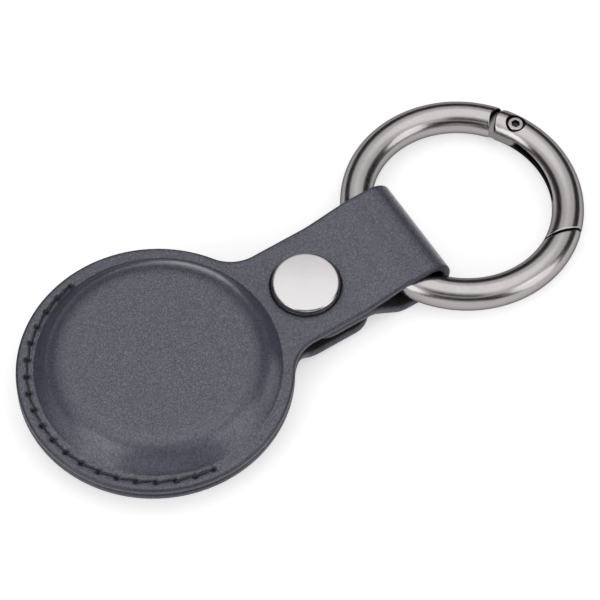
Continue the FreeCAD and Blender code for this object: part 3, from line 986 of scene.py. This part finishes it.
# The rings at each cut end of the wire are painted near black as shade in the joint.
dark_rows = 5
dark_end = dark_rows * len(round_section)
body_end_shade = np.zeros(len(body_points))
body_end_shade[:dark_end] = 1
body_end_shade[-dark_end:] = 1
print("ring wire rings:", len(body_rings))

# %% Eye, and the whole ring body
eye_half = 0.8 * mm
eye_reach = 1.5 * mm
eye_depth = 2.35 * mm
eye_end = math.radians(46)
# The eye is painted darker as shade, where it sits in the gap under the gate.
eye_shade = 0.35
sweep = np.linspace(pin_angle, eye_end, 16)
spokes = circle(sweep)
pin_spot = ring_radius * np.array([math.cos(pin_angle), math.sin(pin_angle)])
nose_turn = np.linspace(pin_angle - math.pi, pin_angle, 24)[1:-1]
inward = (1 - np.cos(nose_turn - pin_angle)) / 2
nose_spokes = eye_reach + (eye_depth - eye_reach) * inward ** 2
nose_arc = pin_spot + nose_spokes[:, None] * circle(nose_turn)
outer_arc = spokes * (ring_radius + eye_reach)
inner_arc = spokes[::-1] * (ring_radius - eye_depth)
eye_outline = np.concatenate([outer_arc, inner_arc, nose_arc])
eye_rings = [np.column_stack([eye_outline, np.full(len(eye_outline), z)]) for z in (-eye_half, eye_half)]
eye_points, eye_faces = skin_rings(eye_rings)
all_faces = body_faces + [tuple(np.array(face) + len(body_points)) for face in eye_faces]
all_points = np.concatenate([body_points, eye_points])
ring_body = new_piece("ring_wire", all_points, all_faces, gunmetal_finish, sharp_angle=40)
mark_points(ring_body, "inside", np.append(body_end_shade, np.full(len(eye_points), eye_shade)))
ring_body.data.transform(ring_seat)
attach(ring_body, "ring")
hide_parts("ring_body")
print("ring wire", len(all_faces), "faces")

# %% [markdown]
# ## Gate
# The gate is the same wire with a slot milled along its inner side for the eye and the spring. Its section is
# a round with a deep notch. Where the slot stops, the notch closes onto the round again, so one skin covers
# both.

# %% Sections of the gate
slot_half = 0.9 * mm
slot_floor = 1.7 * mm
slot_end = math.radians(-30.0)
lip_angle = math.pi - math.asin(slot_half / wire)
outer_angles = np.linspace(lip_angle, -lip_angle, 49)
inner_angles = np.linspace(-lip_angle, lip_angle - full_turn, 22)[1:-1]
lip = wire * math.cos(lip_angle)
outer_round = wire * circle(outer_angles)
inner_round = wire * circle(inner_angles)
wall = np.linspace(lip, slot_floor, 9)[1:]
notch = [(x, -slot_half) for x in wall]
notch += [(slot_floor, z) for z in np.linspace(-slot_half, slot_half, 6)[1:-1]]
notch += [(x, slot_half) for x in wall[::-1]]
closed_section = np.concatenate([outer_round, inner_round])
open_section = np.concatenate([outer_round, np.array(notch)])
section_size = len(open_section)
print("gate section points:", len(closed_section), section_size)

# %% Skin the gate
gate_first = angle_at(closed_section, gate_lock_reach, -1) + inset
gate_last = angle_at(open_section, nose_reach, 1) - inset
gate_rings = end_rings(closed_section, gate_lock_reach, -1, 1)
for share in np.linspace(0, 1, 24)[1:]:
    gate_rings.append(on_ring(closed_section, gate_first + share * (slot_end - gate_first)))
slot_row = len(gate_rings)
for share in np.linspace(0, 1, 80)[:-1]:
    gate_rings.append(on_ring(open_section, slot_end + share * (gate_last - slot_end)))
gate_rings += end_rings(open_section, nose_reach, 1, -1, cap_scales=())[::-1]
gate_points, gate_faces = skin_rings(gate_rings)
nose_first = (len(gate_rings) - 1) * section_size
nose_outline = [Vector((*spot, 0)) for spot in open_section]
gate_faces = gate_faces[:-1] + [tuple(nose_first + corner for corner in triangle)
                                for triangle in tessellate_polygon([nose_outline])]
gate = new_piece("ring_gate_slotted", gate_points, gate_faces, gunmetal_finish)
# The gate's cut end, its nose and the walls of its slot are painted near black as shade.
gate_shade = np.zeros((len(gate_rings), section_size))
nose_rows = 3
gate_shade[:dark_rows] = 1
gate_shade[-nose_rows:] = 1
gate_shade[slot_row:, len(outer_round):] = 1
mark_points(gate, "inside", gate_shade.ravel())
print("gate", len(gate_faces), "faces")

# %% [markdown]
# ## Pin and its seat
# The pin's head sits in a round recess on the front of the gate, and its tail shows behind. The recess is a
# plain cut, so a Boolean modifier does it, and the result is kept as a mesh. Its faces are painted near
# black as shade.

# %% Seat of the pin
head_seat = 1.35 * mm
seat_bore = 0.86 * mm
seat_radius = 1.6 * mm
past_wire = 3 * mm
pin_points = 48


def pin_rings(profile):
    rings = turned_rings(profile, pin_spot[0], pin_points)
    return [ring + [0, pin_spot[1], 0] for ring in rings]


seat_profile = [(seat_bore, -past_wire), (seat_bore, head_seat), (seat_radius, head_seat)]
seat_profile.append((seat_radius, past_wire))
points, faces = skin_rings(pin_rings(seat_profile))
cutter = new_piece("pin_seat_cutter", points, faces, gunmetal_finish)
# The cutter's mark passes to the cut faces, so the seat is painted near black as shade.
mark_points(cutter, "inside", np.ones(len(points)))
cut = gate.modifiers.new("pin_seat", "BOOLEAN")
cut.operation = "DIFFERENCE"
cut.solver = "EXACT"
cut.object = cutter
gate_mesh = bpy.data.meshes.new_from_object(gate.evaluated_get(bpy.context.evaluated_depsgraph_get()))
gate.modifiers.remove(cut)
gate.data = gate_mesh
bpy.data.objects.remove(cutter)
gate_mesh.set_sharp_from_angle(angle=math.radians(35))
gate_mesh.transform(ring_seat)
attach(gate, "gate")
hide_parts("ring_gate")
print("gate after its cut:", len(gate_mesh.polygons), "faces")

# %% Pin with its hexagon socket
pin_radius = 0.8 * mm
pin_head = 1.25 * mm
pin_tail = -2.2 * mm
tail_bevel = 0.15 * mm
head_top = 2.15 * mm
head_round = 0.2 * mm
hex_radius = 0.7 * mm
socket_steps = [(1.06, 0.0), (1.0, 0.06 * mm), (1.0, 0.5 * mm), (0.02, 0.55 * mm)]
pin_profile = [(0.02 * mm, pin_tail), (pin_radius - tail_bevel, pin_tail)]
pin_profile += [(pin_radius, pin_tail + tail_bevel), (pin_radius, head_seat)]
pin_profile += [(pin_head, head_seat), (pin_head, head_top - head_round)]
pin_profile += corner_arc((pin_head - head_round, head_top - head_round), head_round, 15, 90, 6)
pin_skin = pin_rings(pin_profile)
turns = even_turns(pin_points)
hex_reach = hex_radius * math.cos(math.pi / 6) / np.cos((turns % (math.pi / 3)) - math.pi / 6)
for scale, depth in socket_steps:
    around_hex = scale * hex_reach[:, None] * circle(turns)
    pin_skin.append(np.column_stack([pin_spot + around_hex, np.full(pin_points, head_top - depth)]))
points, faces = skin_rings(pin_skin)
gate_pin = new_piece("gate_pin_turned", points, faces, gunmetal_finish, sharp_angle=40)
# The inner rings of the hexagon socket are painted near black as shade.
socket_rows = 3
mark_points(gate_pin, "inside", np.arange(len(points)) >= len(points) - socket_rows * pin_points)
gate_pin.data.transform(ring_seat)
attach(gate_pin, "gate")
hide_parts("gate_pin")
print("pin", len(faces), "faces")

# %% [markdown]
# ## Floor, background and light
# The holder lies on a pale floor under soft light: a large lamp above, and two smaller ones at the front
# corners, which brighten the dome's wall on both sides. The background is white to the lens and to the metal,
# and the floor glows for the same rays. Dark cards that only reflections see stand all round, one hangs
# behind the lens, and two lie beside the pocket. They give the metal its dark lines and the dome its dark
# walls, as cards do in a studio.


# %% Floor
def flat_card(name, centre, facing, width, height, material):
    turn = Vector(facing).to_track_quat("Z", "Y").to_matrix().to_4x4()
    mesh = bpy.data.meshes.new(name)
    corners = [(x * width / 2, y * height / 2, 0) for x, y in ((-1, -1), (1, -1), (1, 1), (-1, 1))]
    mesh.from_pydata(corners, [], [(0, 1, 2, 3)])
    mesh.transform(Matrix.Translation(centre) @ turn)
    mesh.materials.append(material)
    card = add_object(name, mesh)
    return card


def shown_rays(start):
    """1 for rays that show the background: straight to the lens, in metal or through glass."""
    path = start.tree.nodes.new("ShaderNodeLightPath")
    seen, mirrored, passed = (Wire(start.tree, path.outputs[name]) for name in
                              ("Is Camera Ray", "Is Glossy Ray", "Is Transmission Ray"))
    return seen + mirrored + passed


floor_finish, start, shader, place = new_finish("pale_floor")
shader.inputs["Base Color"].default_value = (0.86, 0.86, 0.86, 1)
shader.inputs["Roughness"].default_value = 0.9
glow = place.length().between(0.2, 1.5).blend((0.45, 0.45, 0.45, 1), (0.66, 0.66, 0.66, 1))
feed(shown_rays(start).blend((0, 0, 0, 1), glow), shader, "Emission Color")
shader.inputs["Emission Strength"].default_value = 1.0
floor_width = 6.0
floor_spot = Vector((0, 0, cad_box[0].z - 0.02 * mm))
flat_card("floor", floor_spot, (0, 0, 1), floor_width, floor_width, floor_finish)
print("floor", floor_width, "m wide")

# %% Dark cards
dark_finish, start, shader, place = new_finish("dark_card")
shader.inputs["Base Color"].default_value = (0.02, 0.02, 0.02, 1)
shader.inputs["Roughness"].default_value = 0.9
up = Vector((0, 0, 1))
far_way = Vector((-toward_camera.x, -toward_camera.y, 0)).normalized()
image_right = Vector((far_way.y, -far_way.x, 0))
lens_way = -0.6 * far_way + 0.8 * up
cards = [flat_card("card_behind_lens", lens_way * 0.9, -lens_way, 0.6, 0.42, dark_finish)]
card_count = 9
first_card = math.radians(22)
lens_side_card = 4
lens_side_gap = 0.2
card_distance = 1.2
card_width = 0.9
card_top = 0.8
for number in range(card_count):
    way = Matrix.Rotation(first_card + full_turn * number / card_count, 3, "Z") @ far_way
    low = lens_side_gap if number == lens_side_card else 0.0
    centre = way * card_distance + up * (low + card_top) / 2
    cards.append(flat_card(f"card_{number}", centre, -way, card_width, card_top - low, dark_finish))
pocket_spot = Vector((disc_x, 0, cad_box[0].z + 0.1 * mm))
low_width = 75 * mm
for number, (degrees, distance) in enumerate(((140, 62 * mm), (170, 85 * mm))):
    way = Matrix.Rotation(math.radians(degrees), 3, "Z") @ image_right
    centre = pocket_spot + way * distance
    cards.append(flat_card(f"low_card_{number}", centre, up, low_width, low_width, dark_finish))
for card in cards:
    for ray in ("camera", "diffuse", "shadow", "transmission"):
        setattr(card, f"visible_{ray}", False)
print(len(cards), "cards")


# %% Lamps
def soft_lamp(name, way, distance, width, power):
    data = bpy.data.lights.new(name, "AREA")
    data.shape = "DISK"
    data.size = width
    data.energy = power
    lamp = add_object(name, data)
    lamp.location = way.normalized() * distance
    lamp.rotation_euler = way.to_track_quat("Z", "Y").to_euler()
    return lamp


left_way = image_right * -0.72 - far_way * 0.69 + up * 0.36
right_way = image_right * 0.9 - far_way * 0.45 + up * 0.34
lamps = [
    soft_lamp("lamp_above", far_way * -0.02 + up, 0.75, 1.1, 2.2),
    soft_lamp("lamp_front_left", left_way, 0.8, 0.6, 2.2),
    soft_lamp("lamp_front_right", right_way, 0.8, 0.6, 1.8),
]
print("lamps:", [lamp.name for lamp in lamps])

# %% World
world = bpy.data.worlds.new("white_studio")
world.use_nodes = True
bpy.context.scene.world = world
tree = world.node_tree
tree.nodes.clear()
start = Wire(tree)
ambient = start.node("ShaderNodeBackground", inputs={"Color": (1, 1, 1, 1), "Strength": 0.4})
white = start.node("ShaderNodeBackground", inputs={"Color": (1, 1, 1, 1), "Strength": 1.0})
surface = start.node("ShaderNodeMixShader", inputs={0: shown_rays(start), 1: ambient, 2: white})
output = tree.nodes.new("ShaderNodeOutputWorld")
tree.links.new(surface.socket, output.inputs["Surface"])
bpy.context.scene.view_settings.view_transform = "Standard"
print("world:", world.name)
